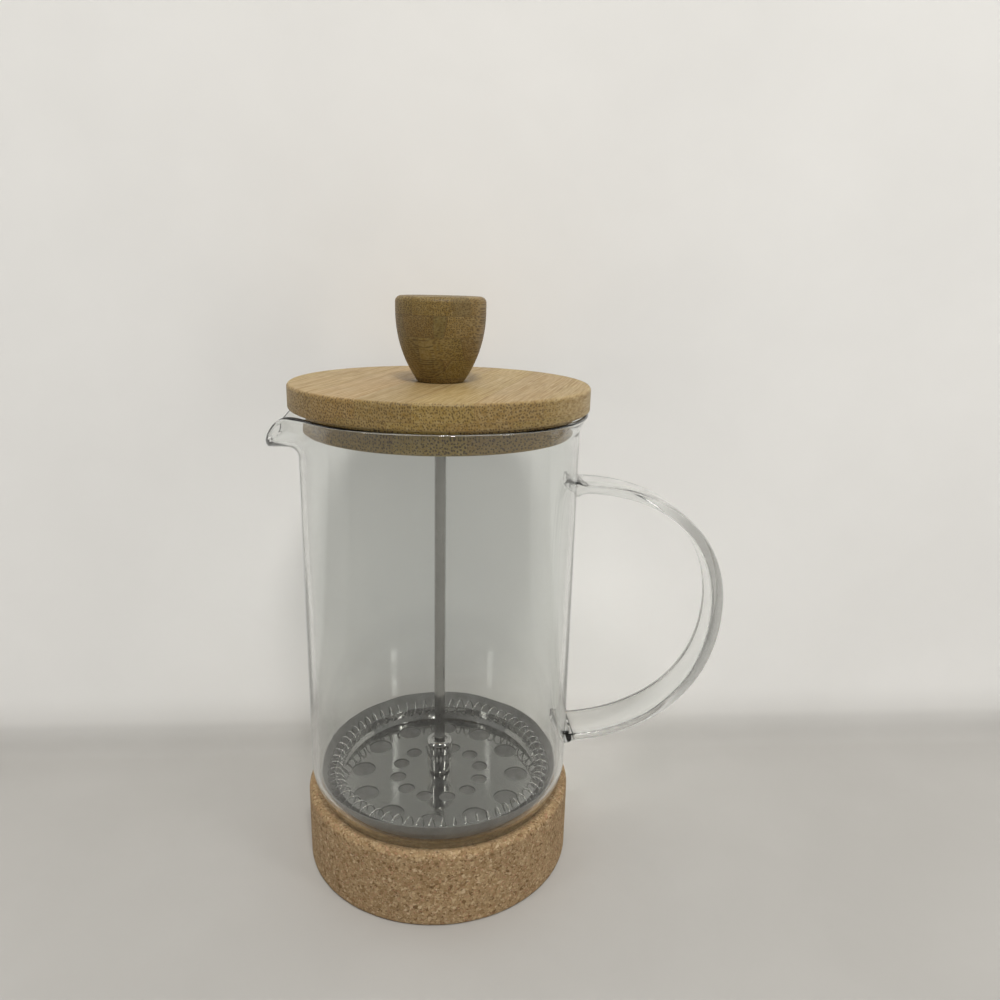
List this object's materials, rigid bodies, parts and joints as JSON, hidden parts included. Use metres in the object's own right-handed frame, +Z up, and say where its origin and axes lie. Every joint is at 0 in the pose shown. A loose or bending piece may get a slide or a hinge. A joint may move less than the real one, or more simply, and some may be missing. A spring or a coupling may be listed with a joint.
{
  "type": "french press",
  "caption": "Cafetiere with a clear glass beaker, welded glass strip handle, cork foot, stepped bamboo lid and knob, and a steel plunger with a spring-edged mesh filter.",
  "frame": {"origin": "centre of the cork foot's underside, on the press axis", "axes": "+Z up along the press axis, +X towards the handle, -X towards the spout"},
  "size_m": [0.162, 0.101, 0.2052],
  "materials": {
    "cork": "matte",
    "glass": "clear",
    "bamboo": "satin",
    "bamboo_dark": "satin",
    "steel": "polished",
    "spring_steel": "satin",
    "woven_steel": "matte",
    "brass": "satin"
  },
  "bodies": {
    "base": {"cork_base": "cork"},
    "carafe": {"glass_beaker": "glass", "glass_handle": "glass"},
    "lid": {"lid_disc": "bamboo", "lid_plug": "bamboo_dark"},
    "guide": {"rod_bush": "steel"},
    "plunger": {"plunger_rod": "steel", "hub": "steel", "spring_plate": "steel", "edge_spring": "spring_steel"},
    "insert": {"knob_insert": "brass"},
    "grip": {"knob": "bamboo_dark"},
    "screen": {"mesh_filter": "woven_steel", "mesh_eyelet": "spring_steel"},
    "clamp": {"cross_plate": "spring_steel", "cross_stud": "spring_steel"}
  },
  "joints": [
    {"name": "carafe_lift", "type": "slide", "parent": "base", "child": "carafe", "axis": [0, 0, 1], "range_m": [0, 0.03]},
    {"name": "lid_lift", "type": "slide", "parent": "carafe", "child": "lid", "axis": [0, 0, 1], "range_m": [0, 0.165]},
    {"name": "plunger_turn", "type": "hinge", "parent": "lid", "child": "guide", "pos_m": [0, 0, 0.165], "axis": [0, 0, 1], "continuous": true},
    {"name": "plunger_slide", "type": "slide", "parent": "guide", "child": "plunger", "axis": [0, 0, 1], "range_m": [0, 0.118]},
    {"name": "knob_rise", "type": "slide", "parent": "plunger", "child": "insert", "axis": [0, 0, 1], "range_m": [0, 0.006]},
    {"name": "knob_unscrew", "type": "hinge", "parent": "insert", "child": "grip", "pos_m": [0, 0, 0.19], "axis": [0, 0, 1], "range_deg": [0, 3060]},
    {"name": "screen_drop", "type": "slide", "parent": "plunger", "child": "screen", "axis": [0, 0, -1], "range_m": [0, 0.00141]},
    {"name": "clamp_unscrew", "type": "hinge", "parent": "screen", "child": "clamp", "pos_m": [0, 0, 0.026], "axis": [0, 0, -1], "range_deg": [0, 720]}
  ],
  "couplings": [
    {"joint": "knob_rise", "follows": "knob_unscrew", "m_per_rad": 0.00011141},
    {"joint": "screen_drop", "follows": "clamp_unscrew", "m_per_rad": 0.00011141}
  ]
}
